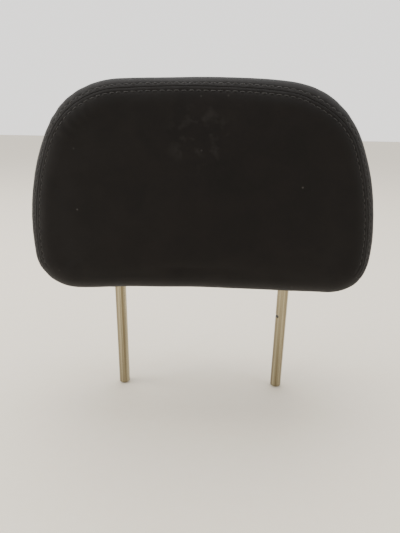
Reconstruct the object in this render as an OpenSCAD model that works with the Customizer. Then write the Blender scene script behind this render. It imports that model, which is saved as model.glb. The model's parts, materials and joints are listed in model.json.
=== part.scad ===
// Seat head restraint: a padded cushion that tilts on a bent steel bar.
// +X is the sitter's left, -Y is the face that the head rests against, +Z runs up along the posts.
// The origin lies midway between the post axes, level with the lock face of the notch.

/* [Posts] */
// Distance between the axes of the two posts
post_spacing = 148; // [123:1:166]
// Diameter of the round steel bar
post_d = 10; // [8:0.5:12]
// Length of each post below the lock face
post_below = 76; // [50:1:110]
// Bend radius of the bar, on its centre line
elbow_r = 22; // [16:1:26]
// Height of the chamfer at the end of each post
tip_chamfer = 1; // [0.5:0.1:2]
// Depth of the lock notch
notch_depth = 1.8; // [1:0.1:3]
// Height of the ramp below the lock face
notch_ramp = 4; // [2:0.5:8]

/* [Cushion] */
// Width of the cushion between the outer sides of its lower corners
cushion_w = 266; // [240:1:320]
// Width between the outer sides of its upper corners
cushion_top_w = 246; // [220:1:280]
// Height from the ends of the underside to the tops of the upper corners
cushion_h = 158; // [131:1:190]
// Height of the underside above the lock face
cushion_z = 38; // [25:1:60]
// Depth of the face's rim in front of the post axes
front_depth = 52; // [46:1:62]
// Depth of the back's rim behind the post axes
back_depth = 46; // [40:1:60]
// Radius of the lower corners
lower_r = 31; // [26:1:40]
// Radius of the upper corners
upper_r = 68; // [50:1:72]
// Radius of the bowed flanks
flank_r = 200; // [180:5:400]
// Radius of the bowed top
top_r = 1000; // [600:50:3000]
// Radius of the hollow in the underside
arch_r = 2500; // [1500:100:5000]
// Radius that rounds the edges of the face
edge_r = 20; // [12:1:24]
// How far the rounding of the back's edges reaches inward
back_edge_in = 26; // [16:1:28]
// How far the rounding of the back's edges reaches forward
back_edge_deep = 24; // [16:1:30]
// Height by which the face and the back bulge at their middle
face_crown = 3; // [1:0.5:8]

/* [Cover] */
// Thickness of the laminated cloth
cloth_t = 1.2; // [0.8:0.1:2.5]
// Angle round the face's edge at which the panels are sewn together
seam_angle = 38; // [25:1:60]
// Height above the underside at which the side band ends
band_end_h = 12; // [6:1:20]
// Length of the closure strips
closure_len = 180; // [120:5:190]
// Thickness of the closure strips
strip_t = 1.6; // [1:0.1:2.5]
// Width of the closure strips
strip_w = 4; // [3:0.5:5]

/* [Tilt] */
// Height of the tilt axis above the underside
pivot_h = 80; // [70:1:96]
// Largest forward tilt in degrees
tilt_max = 15; // [5:1:20]
// Length of each friction bush
bush_len = 26; // [20:1:30]
// Wall of the friction bushes
bush_wall = 3; // [2:0.25:4]
// Width of the friction clips
clip_w = 14; // [8:1:16]
// Thickness of the clips' spring steel
clip_t = 1.6; // [1:0.1:2]
// Diameter of the clip screws
clip_screw_d = 4; // [3:0.5:5]
// Width of the stop lug on the bar
lug_w = 20; // [12:1:30]
// Thickness of the stop lug
lug_t = 3; // [2:0.5:5]
// Length of the stop lug, from the bar's axis
lug_len = 18; // [14:1:24]
// Thickness of the rubber bumpers
bumper_t = 3; // [2:0.5:5]

/* [Core] */
// Wall of the moulded core
core_wall = 2.5; // [2:0.25:4]
// Height of the core's floor above the underside
core_z = 8; // [6:1:14]
// Height of the core's top above the tilt axis
core_rise = 26; // [22:1:34]
// Corner radius of the core
core_corner = 6; // [4:1:10]
// Diameter of the core screws
screw_d = 3.8; // [3:0.2:5]
// Length of the core screws
screw_len = 24; // [18:1:30]

/* [Bezels] */
// Wall of the collar that lines each post's slot
collar_wall = 1.5; // [1:0.1:2.5]
// Width of the flange around each slot
flange_w = 4; // [2:0.5:6]
// Thickness of the flange
flange_t = 2; // [1.5:0.1:3]
// Free space at the sides of the post in its slot
post_room = 1.5; // [1:0.1:3]

/* [Fits] */
// Radial running clearance of the bar in its bushes
run_gap = 0.05; // [0.02:0.01:0.1]
// Clearance between the cloth, the foam and the core
soft_gap = 0.3; // [0.2:0.05:0.6]
// Clearance between fitted plastic parts
fit_gap = 0.2; // [0.1:0.05:0.4]
// Clearance between the stop lug and its bumpers at rest and at the largest tilt
stop_gap = 0.3; // [0.1:0.05:0.5]

/* [Hidden] */
$fn = 64;

// colours
STEEL = "#b7b2a2";
ZINC = "#c9c9c4";
SPRING = "#5a5d60";
POM = "#ece9df";
PP_GREY = "#3b3d40";
PP_BLACK = "#1b1b1c";
RUBBER = "#141414";
FOAM = "#d9cf9a";
CLOTH = "#23211f";

// bar and tilt axis
post_r = post_d / 2;
post_x = post_spacing / 2;
pivot_z = cushion_z + pivot_h;
bar_half = post_x - elbow_r;
elbow_z = pivot_z - elbow_r;

// bushes and clips at +X; the other two mirror them
end_play = 0.5;
bush_r = post_r + run_gap + bush_wall;
bush_x1 = bar_half - end_play;
bush_x0 = bush_x1 - bush_len;
bush_flange_t = 2;
slit_w = 1.5;
clip_r = bush_r + clip_t;
bush_flange_r = clip_r + 0.4;
clip_x = (bush_x0 + bush_x1 - bush_flange_t) / 2;
ear_gap = 3;
ear_len = 12;
ear_top = ear_gap / 2 + clip_t;
clip_screw_y = -clip_r - ear_len / 2;
clip_nut_t = 3;
clip_head_t = 2.4;
socket_deep = 1.6;

// slots for the posts: a post's path at the outer face of the bezel's flange
slot_r = post_r + post_room;
slot_travel = (pivot_h + flange_t) * tan(tilt_max);
collar_r = slot_r + collar_wall;
lip = 0.8;

// core, an oblong box split on the plane of the posts
core_half = post_x + collar_r + lip + core_corner + fit_gap;
core_z0 = cushion_z + core_z;
core_z1 = pivot_z + core_rise;
core_front = -(slot_travel + collar_r + lip + fit_gap + core_wall);
core_back = max(collar_r + lip, bush_flange_r) + fit_gap + core_wall;
front_in = core_front + core_wall;
back_in = core_back - core_wall;
rib_t = 3;
rib_half = 14;
ear_rib_w = 2.5;
boss_r = 4.5;
head_r = 4;
head_t = 2.4;
head_sunk = 0.5;
point_len = 2;
head_boss_r = head_r + fit_gap + 1.8;
screw_top_z = pivot_z + rib_half + 2;
screw_low_z = core_z0 + core_wall + head_boss_r + 2;
screw_top_x = bar_half + 12;
screw_low_x = post_x - collar_r - head_boss_r - 2;
SCREWS = [for (x = [-1, 0, 1]) each [[x * screw_top_x, screw_top_z], [x * screw_low_x, screw_low_z]]];

// stop lug and bumpers, measured from the tilt axis
bumper_h = 9;
bumper_w = lug_w - 4;
bumper_low = -lug_len;
peg_r = 2;
peg_len = 2.5;

// outline of the cushion: arcs that run into each other, seen along Y
low_c = [cushion_w / 2 - lower_r, cushion_z + lower_r];
up_c = [cushion_top_w / 2 - upper_r, cushion_z + cushion_h - upper_r];
// centre of an arc of radius a + b inside which circles of reach a and b meet it
function meet(p, q, a, b) =
    let (d = q - p, l = norm(d), u = d / l, t = (a * a - b * b + l * l) / (2 * l))
    p + t * u - sqrt(a * a - t * t) * [u[1], -u[0]];
flank_c = meet(low_c, up_c, flank_r - lower_r, flank_r - upper_r);
top_c = [0, up_c[1] - sqrt(pow(top_r - upper_r, 2) - pow(up_c[0], 2))];
arch_c = [0, low_c[1] - sqrt(pow(arch_r + lower_r, 2) - pow(low_c[0], 2))];
function heading(d) = atan2(d[1], d[0]);
arch_a = heading(low_c - arch_c);
flank_a0 = heading(low_c - flank_c);
flank_a1 = heading(up_c - flank_c);
top_a = heading(up_c - top_c);
// each outline point is [centre, radius, how the radius changes as the outline moves inward, angle]
function arc(c, r, grow, a0, a1, n) = [for (k = [0:n - 1]) [c, r, grow, a0 + (a1 - a0) * k / n]];
HALF = concat(
    arc(arch_c, arch_r, 1, 90, arch_a, 5),
    arc(low_c, lower_r, -1, arch_a - 180, flank_a0, 8),
    arc(flank_c, flank_r, -1, flank_a0, flank_a1, 4),
    arc(up_c, upper_r, -1, flank_a1, top_a, 8),
    arc(top_c, top_r, -1, top_a, 90, 4)
);
RIM = concat(
    HALF,
    [[top_c, top_r, -1, 90]],
    [for (k = [len(HALF) - 1:-1:1]) let (q = HALF[k]) [[-q[0][0], q[0][1]], q[1], q[2], 180 - q[3]]]
);
function rim_point(q, inset) = q[0] + (q[1] + q[2] * inset) * [cos(q[3]), sin(q[3])];
middle = [0, cushion_z + cushion_h / 2];

// the padded form: rings from the face's middle, v = 0, over its rim, v = 1, the side, v = 2 to 3,
// and the back's rim, v = 4, to the back's middle, v = 5, all lying d below the cloth's outer side
function ring_scale(v) = v < 1 ? v : v > 4 ? 5 - v : 1;
function turn(v) = 90 * (v < 2 ? max(v - 1, 0) : v > 3 ? max(4 - v, 0) : 1);
function ring_inset(v, d) = d + ((v < 2.5 ? edge_r : back_edge_in) - d) * (1 - sin(turn(v)));
function bulge(v) = face_crown * (1 - pow(ring_scale(v), 2));
function ring_y(v, d) =
    let (fall = d + ((v < 2.5 ? edge_r : back_edge_deep) - d) * (1 - cos(turn(v))))
    v < 2.5 ? -front_depth + fall - bulge(v) : back_depth - fall + bulge(v);
function ring(v, d) = [
    for (q = RIM) let (p = middle + ring_scale(v) * (rim_point(q, ring_inset(v, d)) - middle))
    [p[0], ring_y(v, d), p[1]]
];
FACE_STEPS = [0.3, 0.6, 0.85];
EDGE_STEPS = [for (k = [0:6]) k / 6];
STEPS = concat(
    FACE_STEPS, [for (t = EDGE_STEPS) 1 + t], [for (t = EDGE_STEPS) 3 + t],
    [for (k = [len(FACE_STEPS) - 1:-1:0]) 5 - FACE_STEPS[k]]
);

module padded_form(d) {
    n = len(RIM);
    rings = len(STEPS);
    points = concat(
        [[0, ring_y(0, d), middle[1]]],
        [for (v = STEPS) each ring(v, d)],
        [[0, ring_y(5, d), middle[1]]]
    );
    last = rings * n + 1;
    faces = concat(
        [for (i = [0:n - 1]) [0, 1 + i, 1 + (i + 1) % n]],
        [for (k = [0:rings - 2]) for (i = [0:n - 1]) let (a = 1 + k * n + i, b = 1 + k * n + (i + 1) % n)
            each [[a, a + n, b], [b, a + n, b + n]]],
        [for (i = [0:n - 1]) let (a = last - n) [last, a + (i + 1) % n, a + i]]
    );
    polyhedron(points, [for (f = faces) [f[0], f[2], f[1]]]);
}

// a round bar or hole from x0 to x1, on the tilt axis
module round_x(r, x0, x1) {
    translate([x0, 0, pivot_z]) rotate([0, 90, 0]) cylinder(h = x1 - x0, r = r);
}

// a drawing in X and Z made solid from y0 back to y1
module along_y(y0, y1) {
    translate([0, y1, 0]) rotate([90, 0, 0]) linear_extrude(y1 - y0) children();
}

// a drawing in Y and Z made solid from x0 to x1
module along_x(x0, x1) {
    translate([x0, 0, 0]) rotate([90, 0, 90]) linear_extrude(x1 - x0) children();
}

module box(low, high) {
    translate(low) cube(high - low);
}

module both_sides() {
    children();
    mirror([1, 0, 0]) children();
}

// slot for a post, with round ends, seen from above
module post_slot(r, z0, z1) {
    translate([post_x, 0, z0]) linear_extrude(z1 - z0) {
        circle(r);
        translate([-r, -slot_travel]) square([2 * r, slot_travel]);
        translate([0, -slot_travel]) circle(r);
    }
}

// the bar: two posts, two bends and the cross-bar that is the tilt axis
module post_frame() {
    color(STEEL) difference() {
        union() {
            both_sides() {
                translate([post_x, 0, -post_below]) {
                    cylinder(h = tip_chamfer, r1 = post_r - tip_chamfer, r2 = post_r);
                    translate([0, 0, tip_chamfer])
                        cylinder(h = elbow_z + post_below - tip_chamfer, r = post_r);
                }
                translate([bar_half, 0, elbow_z]) rotate([90, 0, 0])
                    rotate_extrude(angle = 90) translate([elbow_r, 0]) circle(post_r);
            }
            round_x(post_r, -bar_half, bar_half);
        }
        lock_notch();
    }
}

// the notch on the inner side of the sitter's left post: a flat face above, a ramp below
module lock_notch() {
    side = post_x - post_r;
    along_y(-post_d, post_d) polygon([
        [side - 1, 0], [side + notch_depth, 0], [side, -notch_ramp], [side - 1, -notch_ramp]
    ]);
}

// a steel plate welded under the middle of the cross-bar
module stop_lug() {
    color(STEEL) difference() {
        box([-lug_w / 2, -lug_t / 2, pivot_z - lug_len], [lug_w / 2, lug_t / 2, pivot_z - post_r / 2]);
        round_x(post_r, -lug_w, lug_w);
    }
}

// a split bush with a flange that keeps the core from moving sideways
module bush() {
    color(POM) difference() {
        union() {
            round_x(bush_r, bush_x0, bush_x1);
            round_x(bush_flange_r, bush_x1 - bush_flange_t, bush_x1);
        }
        round_x(post_r + run_gap, bush_x0 - 1, bush_x1 + 1);
        box([bush_x0 - 1, -bush_flange_r - 1, pivot_z - slit_w / 2], [bush_x1 + 1, 0, pivot_z + slit_w / 2]);
    }
}

module bush_left() { mirror([1, 0, 0]) bush(); }
module bush_right() { bush(); }

// a band of spring steel round the bush, with two ears that a screw pulls together
module friction_clip() {
    x0 = clip_x - clip_w / 2;
    x1 = clip_x + clip_w / 2;
    ear_end = -clip_r - ear_len;
    color(SPRING) difference() {
        union() {
            round_x(clip_r, x0, x1);
            box([x0, ear_end, pivot_z - ear_top], [x1, -bush_r, pivot_z + ear_top]);
        }
        round_x(bush_r, x0 - 1, x1 + 1);
        box([x0 - 1, ear_end - 1, pivot_z - ear_gap / 2], [x1 + 1, 0, pivot_z + ear_gap / 2]);
        translate([clip_x, clip_screw_y, pivot_z - clip_r])
            cylinder(h = 2 * clip_r, d = clip_screw_d + 2 * run_gap);
    }
}

module friction_clip_left() { mirror([1, 0, 0]) friction_clip(); }
module friction_clip_right() { friction_clip(); }

// the screws that set the friction, with hexagon sockets above and square nuts below
module clip_screws() {
    shank_end = ear_top + clip_nut_t + 1;
    color(ZINC) both_sides() translate([clip_x, clip_screw_y, pivot_z]) difference() {
        union() {
            translate([0, 0, -shank_end]) cylinder(h = shank_end + ear_top, d = clip_screw_d);
            translate([0, 0, ear_top]) cylinder(h = clip_head_t, d = 1.8 * clip_screw_d);
        }
        translate([0, 0, ear_top + clip_head_t - socket_deep])
            cylinder(h = socket_deep + 1, d = 0.7 * clip_screw_d, $fn = 6);
    }
}

module clip_nuts() {
    nut_w = 1.75 * clip_screw_d;
    nut_z = pivot_z - ear_top - clip_nut_t;
    color(ZINC) both_sides() translate([clip_x, clip_screw_y, nut_z]) difference() {
        translate([-nut_w / 2, -nut_w / 2, 0]) cube([nut_w, nut_w, clip_nut_t]);
        translate([0, 0, -1]) cylinder(h = clip_nut_t + 2, d = clip_screw_d + 2 * run_gap);
    }
}

// outline of the core, moved inward by d
module core_outline(d) {
    flat_x = core_half - core_corner;
    for (x = [-flat_x, flat_x], z = [core_z0 + core_corner, core_z1 - core_corner])
        translate([x, z]) circle(core_corner - d);
    translate([-core_half + d, core_z0 + core_corner])
        square([2 * (core_half - d), core_z1 - core_z0 - 2 * core_corner]);
    translate([-flat_x, core_z0 + d]) square([2 * flat_x, core_z1 - core_z0 - 2 * d]);
}

// the two ribs of each half that hold a bush
module bush_ribs(y0, y1) {
    both_sides() for (x = [bush_x0 + end_play, bush_x1 - bush_flange_t - fit_gap - rib_t]) difference() {
        box([x, y0, pivot_z - rib_half], [x + rib_t, y1, pivot_z + rib_half]);
        round_x(bush_r + run_gap, x - 1, x + rib_t + 1);
    }
}

// ribs above and below the clips' ears, which keep the clips from turning with the bar
module ear_ribs() {
    x1 = clip_x + clip_w / 2;
    both_sides() for (z = [ear_top + fit_gap, -ear_top - fit_gap - ear_rib_w])
        box([x1 - ear_rib_w, front_in, pivot_z + z], [x1, -clip_r - 2, pivot_z + z + ear_rib_w]);
}

module screw_holes(r, y0, y1) {
    for (s = SCREWS) translate([s[0], y1, s[1]]) rotate([90, 0, 0]) cylinder(h = y1 - y0, r = r);
}

// block that carries the rear bumper, straight behind the lug
module rear_block() {
    y = lug_t / 2 + stop_gap + bumper_t;
    translate([0, 0, pivot_z]) difference() {
        box([-bumper_w / 2, y, bumper_low], [bumper_w / 2, back_in, bumper_low + bumper_h]);
        translate([0, y + peg_len + fit_gap, bumper_low + bumper_h / 2]) rotate([90, 0, 0])
            cylinder(h = peg_len + fit_gap + 1, r = peg_r);
    }
}

// block that carries the front bumper, square to the lug at the largest tilt
module front_block() {
    y = -(lug_t / 2 + stop_gap + bumper_t);
    low = tilted(y, bumper_low);
    high = tilted(y, bumper_low + bumper_h);
    translate([0, 0, pivot_z]) difference() {
        along_x(-bumper_w / 2, bumper_w / 2) polygon([low, high, [front_in, high[1]], [front_in, low[1]]]);
        rotate([-tilt_max, 0, 0]) translate([0, y + 1, bumper_low + bumper_h / 2])
            rotate([90, 0, 0]) cylinder(h = peg_len + fit_gap + 1, r = peg_r);
    }
}
function tilted(y, z) = [y * cos(tilt_max) + z * sin(tilt_max), z * cos(tilt_max) - y * sin(tilt_max)];

// slots in the core's floor for the collars of the bezels
module floor_slots() {
    both_sides() post_slot(collar_r + fit_gap, core_z0 - 1, core_z0 + core_corner);
}

module core_front_shell() {
    color(PP_GREY) difference() {
        union() {
            difference() {
                along_y(core_front, 0) core_outline(0);
                along_y(front_in, 1) core_outline(core_wall);
            }
            bush_ribs(front_in, 0);
            screw_holes(boss_r, front_in, 0);
            front_block();
            ear_ribs();
        }
        screw_holes(screw_d / 2 + run_gap, -screw_len, 1);
        floor_slots();
    }
}

module core_rear_shell() {
    head_y = core_back - head_sunk;
    color(PP_GREY) difference() {
        union() {
            difference() {
                along_y(0, core_back) core_outline(0);
                along_y(-1, back_in) core_outline(core_wall);
            }
            bush_ribs(0, back_in);
            screw_holes(head_boss_r, 0, back_in);
            rear_block();
        }
        screw_holes(screw_d / 2 + fit_gap, -1, core_back);
        screw_holes(head_r + fit_gap, head_y - head_t, core_back + 1);
        floor_slots();
    }
}

// six self-tapping screws with cross recesses, put in from behind
module core_screws() {
    head_y = core_back - head_sunk - head_t;
    color(ZINC) for (s = SCREWS) translate([s[0], head_y, s[1]]) rotate([-90, 0, 0]) difference() {
        union() {
            cylinder(h = head_t, r = head_r);
            translate([0, 0, -screw_len + point_len]) cylinder(h = screw_len - point_len, d = screw_d);
            translate([0, 0, -screw_len]) cylinder(h = point_len, r1 = screw_d / 6, r2 = screw_d / 2);
        }
        for (a = [0, 90]) rotate(a) translate([-0.5, -head_r / 2, head_t - 1.2]) cube([1, head_r, 2]);
    }
}

// rubber bumpers with a peg that is pushed into the block
module bumper() {
    y = lug_t / 2 + stop_gap;
    color(RUBBER) union() {
        box([-bumper_w / 2, y, bumper_low], [bumper_w / 2, y + bumper_t, bumper_low + bumper_h]);
        translate([0, y + bumper_t + peg_len, bumper_low + bumper_h / 2]) rotate([90, 0, 0])
            cylinder(h = peg_len, r = peg_r - run_gap);
    }
}
module bumper_rear() { translate([0, 0, pivot_z]) bumper(); }
module bumper_front() { translate([0, 0, pivot_z]) rotate([-tilt_max, 0, 0]) mirror([0, 1, 0]) bumper(); }

// extruded strips sewn to the two flaps of the cover, one hooked behind the other under the foam
barb = 1.2 * strip_t;
hook_gap = 2 * fit_gap;
hook_h = 2 * strip_t + barb;
catch_h = hook_h + hook_gap + strip_t;
hook_reach = 1.5 * strip_t + barb + hook_gap;
catch_reach = 1.5 * strip_t + hook_gap;
closure_y = collar_r + 2 * soft_gap + fit_gap + strip_w + hook_reach;
// the catch strip reaches past the place where the underside starts to round up to the back
round_y = back_depth - back_edge_deep;
round_slope = ring_inset(3 + EDGE_STEPS[1], 0) / (ring_y(3 + EDGE_STEPS[1], 0) - round_y);
strip_rise = max(0, closure_y + catch_reach + strip_w - round_y) * round_slope;
strip_lift = cloth_t + soft_gap / 2 + strip_rise;

// a drawing of height above the underside and place along Y, bent to the underside's hollow
module along_underside(length) {
    half_a = asin(length / 2 / arch_r);
    translate([0, 0, arch_c[1]]) rotate([90, 0, 0]) rotate(90 - half_a)
        rotate_extrude(angle = 2 * half_a, $fn = 720) scale([1, -1]) translate([arch_r, 0]) children();
}

module closure_hook_strip() {
    t = strip_t;
    color(PP_BLACK) along_underside(closure_len) translate([strip_lift, closure_y]) polygon([
        [0, -hook_reach - strip_w], [0, t / 2], [hook_h, t / 2], [hook_h, -t / 2 - barb],
        [hook_h - t, -t / 2 - barb], [hook_h - t, -t / 2], [t, -t / 2], [t, -hook_reach - strip_w]
    ]);
}

module closure_catch_strip() {
    t = strip_t;
    inner = t / 2 + hook_gap;
    color(PP_BLACK) along_underside(closure_len) translate([strip_lift, closure_y]) polygon([
        [0, inner], [0, catch_reach + strip_w], [t, catch_reach + strip_w], [t, catch_reach],
        [catch_h, catch_reach], [catch_h, -hook_reach], [t + hook_gap, -hook_reach],
        [t + hook_gap, -hook_reach + t], [catch_h - t, -hook_reach + t], [catch_h - t, inner]
    ]);
}

// a moulded polyurethane bun with a pocket for the core, a slit to put it in by,
// two holes for the collars and a groove for the closure strips
below = cushion_z - flange_w;
slit_half = 0.5;
module foam_bun() {
    slit_y = -slot_travel / 2;
    groove_w = hook_reach + catch_reach + 2 * soft_gap;
    color(FOAM) difference() {
        padded_form(cloth_t + soft_gap);
        along_y(core_front - soft_gap, core_back + soft_gap) core_outline(-soft_gap);
        both_sides() post_slot(collar_r + soft_gap, below, core_z0 + 1);
        box([-post_x, slit_y - slit_half, below], [post_x, slit_y + slit_half, core_z0 + 1]);
        along_underside(closure_len + 2) {
            translate([-5, closure_y - hook_reach - strip_w - soft_gap])
                square([5 + strip_lift + strip_t + soft_gap, groove_w + 2 * strip_w]);
            translate([0, closure_y - hook_reach - soft_gap])
                square([strip_lift + catch_h + soft_gap, groove_w]);
        }
    }
}

// cloth cover: panels cut from one skin by the planes of their seams
seam_y = -front_depth + edge_r * (1 - cos(seam_angle));
back_seam_y = back_depth - back_edge_deep * (1 - cos(seam_angle));
band_z = cushion_z + band_end_h;
seam_gap = 0.2;
flap_y = closure_y + strip_t / 2;
reach = cushion_w;

module cover_skin() {
    color(CLOTH) difference() {
        padded_form(0);
        padded_form(cloth_t);
    }
}

// where the flaps under the cushion lie, between the ends of the side band
module underside(y0, y1, margin) {
    box([-reach, y0, -reach], [reach, y1, band_z + margin]);
    box([-low_c[0] - margin, y0, -reach], [low_c[0] + margin, y1, middle[1]]);
}

module cover_front_panel() {
    difference() {
        intersection() {
            cover_skin();
            union() {
                box([-reach, -reach, -reach], [reach, seam_y, 2 * reach]);
                underside(-reach, flap_y, 0);
            }
        }
        both_sides() post_slot(collar_r + soft_gap, below, core_z0);
    }
}

module cover_side_band() {
    difference() {
        intersection() {
            cover_skin();
            box([-reach, seam_y + seam_gap, -reach], [reach, back_seam_y - seam_gap, 2 * reach]);
        }
        underside(-reach, reach, seam_gap);
    }
}

module cover_back_panel() {
    intersection() {
        cover_skin();
        union() {
            box([-reach, back_seam_y, -reach], [reach, reach, 2 * reach]);
            underside(flap_y + hook_gap, reach, 0);
        }
    }
}

// a slotted trim for each post: flange, collar through the foam and two snap tabs over the core's floor
flange_z = arch_c[1] + sqrt(pow(arch_r, 2) - pow(post_x + collar_r + flange_w, 2)) - run_gap;
tab_h = 1.4;
tab_half = 5;
module bezel() {
    tab_z = core_z0 + core_wall + fit_gap;
    tab_y = -slot_travel / 2;
    color(PP_BLACK) difference() {
        union() {
            post_slot(collar_r + flange_w, flange_z - flange_t, flange_z);
            post_slot(collar_r, flange_z - flange_t, tab_z + tab_h);
            intersection() {
                post_slot(collar_r + lip, tab_z, tab_z + tab_h);
                box([0, tab_y - tab_half, tab_z], [2 * post_x, tab_y + tab_half, tab_z + tab_h]);
            }
        }
        post_slot(slot_r, flange_z - flange_t - 1, tab_z + tab_h + 1);
    }
}
module bezel_left() { mirror([1, 0, 0]) bezel(); }
module bezel_right() { bezel(); }

post_frame();
stop_lug();
bush_left();
bush_right();
friction_clip_left();
friction_clip_right();
clip_screws();
clip_nuts();
core_front_shell();
core_rear_shell();
core_screws();
bumper_front();
bumper_rear();
foam_bun();
cover_front_panel();
cover_side_band();
cover_back_panel();
closure_hook_strip();
closure_catch_strip();
bezel_left();
bezel_right();
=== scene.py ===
"""Seat head restraint: a cloth-covered cushion that tilts on a bent steel bar, standing on its two posts.

Blender 4.5. Lengths are metres in the scene; sizes of sewn and moulded pieces are worked in millimetres.
+X is the sitter's left, -Y the face that the head rests against, +Z runs up along the posts.
"""
import json
import math
from functools import partial
import bpy
import numpy as np
from mathutils import Matrix, Vector, geometry


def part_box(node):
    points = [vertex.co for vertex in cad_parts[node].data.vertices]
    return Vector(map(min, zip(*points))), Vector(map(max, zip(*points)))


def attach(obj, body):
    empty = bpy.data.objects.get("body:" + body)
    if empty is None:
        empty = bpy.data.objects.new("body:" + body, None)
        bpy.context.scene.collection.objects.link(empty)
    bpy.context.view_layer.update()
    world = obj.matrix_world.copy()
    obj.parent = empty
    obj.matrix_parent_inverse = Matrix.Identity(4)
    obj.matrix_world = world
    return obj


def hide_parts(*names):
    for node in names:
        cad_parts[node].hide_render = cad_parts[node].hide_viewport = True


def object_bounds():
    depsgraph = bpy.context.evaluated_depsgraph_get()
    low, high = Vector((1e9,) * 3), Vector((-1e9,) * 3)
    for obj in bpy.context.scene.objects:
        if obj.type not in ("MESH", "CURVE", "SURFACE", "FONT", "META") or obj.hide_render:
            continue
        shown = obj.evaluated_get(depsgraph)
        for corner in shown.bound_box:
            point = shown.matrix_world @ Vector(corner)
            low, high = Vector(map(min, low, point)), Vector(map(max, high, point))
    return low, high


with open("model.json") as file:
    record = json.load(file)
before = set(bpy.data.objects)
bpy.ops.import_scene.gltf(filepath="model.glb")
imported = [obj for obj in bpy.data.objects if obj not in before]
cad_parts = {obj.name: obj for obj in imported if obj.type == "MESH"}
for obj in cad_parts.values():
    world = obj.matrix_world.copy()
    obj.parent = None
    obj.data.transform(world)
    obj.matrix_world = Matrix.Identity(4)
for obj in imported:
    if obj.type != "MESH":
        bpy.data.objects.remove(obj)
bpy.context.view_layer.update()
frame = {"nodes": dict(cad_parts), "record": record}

cad = frame["nodes"]

# Steel bar ------------------------------------------------------------
# One round bar of mild steel, cold drawn, bent twice and zinc plated, with the stop lug welded on.
# Drawing leaves fine lines along the bar; the plating was passivated, which gives it a warm straw cast.


def linear(code):
    """The linear colour of an sRGB hex code such as b7b2a2, with alpha 1."""
    parts = [int(code[i:i + 2], 16) / 255 for i in (0, 2, 4)]
    return [c / 12.92 if c <= 0.04045 else ((c + 0.055) / 1.055) ** 2.4 for c in parts] + [1.0]


def add_node(tree, kind, inputs=None, stops=(), **settings):
    """Adds a shader node: inputs maps a socket's name or number to a value or to the socket that feeds it,
    and stops are the places and hex colours along a ramp."""
    made = tree.nodes.new("ShaderNode" + kind)
    for name, value in settings.items():
        setattr(made, name, value)
    for name, value in (inputs or {}).items():
        if isinstance(value, bpy.types.NodeSocket):
            tree.links.new(value, made.inputs[name])
        else:
            made.inputs[name].default_value = value
    for i, (at, code) in enumerate(stops):
        made.color_ramp.elements[i].position, made.color_ramp.elements[i].color = at, linear(code)
    return made.outputs


def material(name):
    """A new material, what adds a node to it, and the place on the piece that its patterns follow."""
    made = bpy.data.materials.new(name)
    made.use_nodes = True
    made.node_tree.nodes.clear()
    add = partial(add_node, made.node_tree)
    return made, add, add("TexCoord")["Object"]


def finish_with(names, made):
    """Gives a material to CAD nodes that are shown with their own shape."""
    for name in names:
        for slot in cad[name].material_slots:
            slot.material = made


steel, add, place = material("passivated_zinc_on_drawn_steel")
# a noise's features are 1 / scale across: the die's finest lines are 0.3 mm wide and 40 mm long;
# the broader ones, 2.4 mm wide and longer than a post, tint the plating
lines = add("Mapping", {"Vector": place, "Scale": (3200, 3200, 25)})["Vector"]
draw = add("TexNoise", {"Vector": lines, "Scale": 1.0, "Detail": 3.0, "Roughness": 0.6})["Fac"]
bands = add("Mapping", {"Vector": place, "Scale": (420, 420, 3)})["Vector"]
streak = add("TexNoise", {"Vector": bands, "Scale": 1.0, "Detail": 2.0, "Roughness": 0.5})["Fac"]
tint = add("ValToRGB", {"Fac": streak}, stops=[(0.36, "6f644e"), (0.62, "aaa289")])["Color"]
wear = add("MapRange", {
    "Value": draw, "From Min": 0.3, "From Max": 0.7, "To Min": 0.2, "To Max": 0.32})["Result"]
bump = add("Bump", {"Height": draw, "Strength": 0.12, "Distance": 0.0001})["Normal"]
# painted shade of the lock notch: the bar is coloured dark, dull and not metallic where it is cut below its
# round, and over a patch of the inner rim beside it. Each edge fades from an unshaded length to a shaded
# one, in metres: from the post's axis, from the notch's middle, and to the inner side
post_right = next(m for m in frame["record"]["mounts"] if m["name"] == "post_right")
POST_X, BAR_R = post_right["pos_m"][0], post_right["dims"]["r_mm"] / 1000
NOTCH_Z, NEAR_POST = -0.0015, BAR_R + 0.001
CUT, CUT_UP = (BAR_R - 0.00008, BAR_R - 0.0003), (0.0034, 0.0026)
RIM_X, RIM_UP = (-0.0027, -0.0032), (0.0014, 0.0009)
from_axis = add("Mapping", {"Vector": place, "Location": (-POST_X, 0, -NOTCH_Z)})["Vector"]
parts = add("SeparateXYZ", {"Vector": from_axis})
flat = add("Mapping", {"Vector": from_axis, "Scale": (1, 1, 0)})["Vector"]
off_axis = add("VectorMath", {0: flat}, operation="LENGTH")["Value"]
this_post = add("Math", {0: off_axis, 1: NEAR_POST}, operation="LESS_THAN")["Value"]
level = add("Math", {0: parts["Z"]}, operation="ABSOLUTE")["Value"]
deep, in_notch, over_rim, painted_rim_shade = (
    add("MapRange", {"Value": value, "From Min": unshaded, "From Max": shaded})["Result"]
    for value, (unshaded, shaded) in ((off_axis, CUT), (level, CUT_UP), (parts["X"], RIM_X), (level, RIM_UP)))
in_notch = add("Math", {0: deep, 1: in_notch}, operation="MULTIPLY")["Value"]
over_rim = add("Math", {0: over_rim, 1: this_post}, operation="MULTIPLY")["Value"]
painted_rim_shade = add("Math", {0: over_rim, 1: painted_rim_shade}, operation="MULTIPLY")["Value"]
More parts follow.
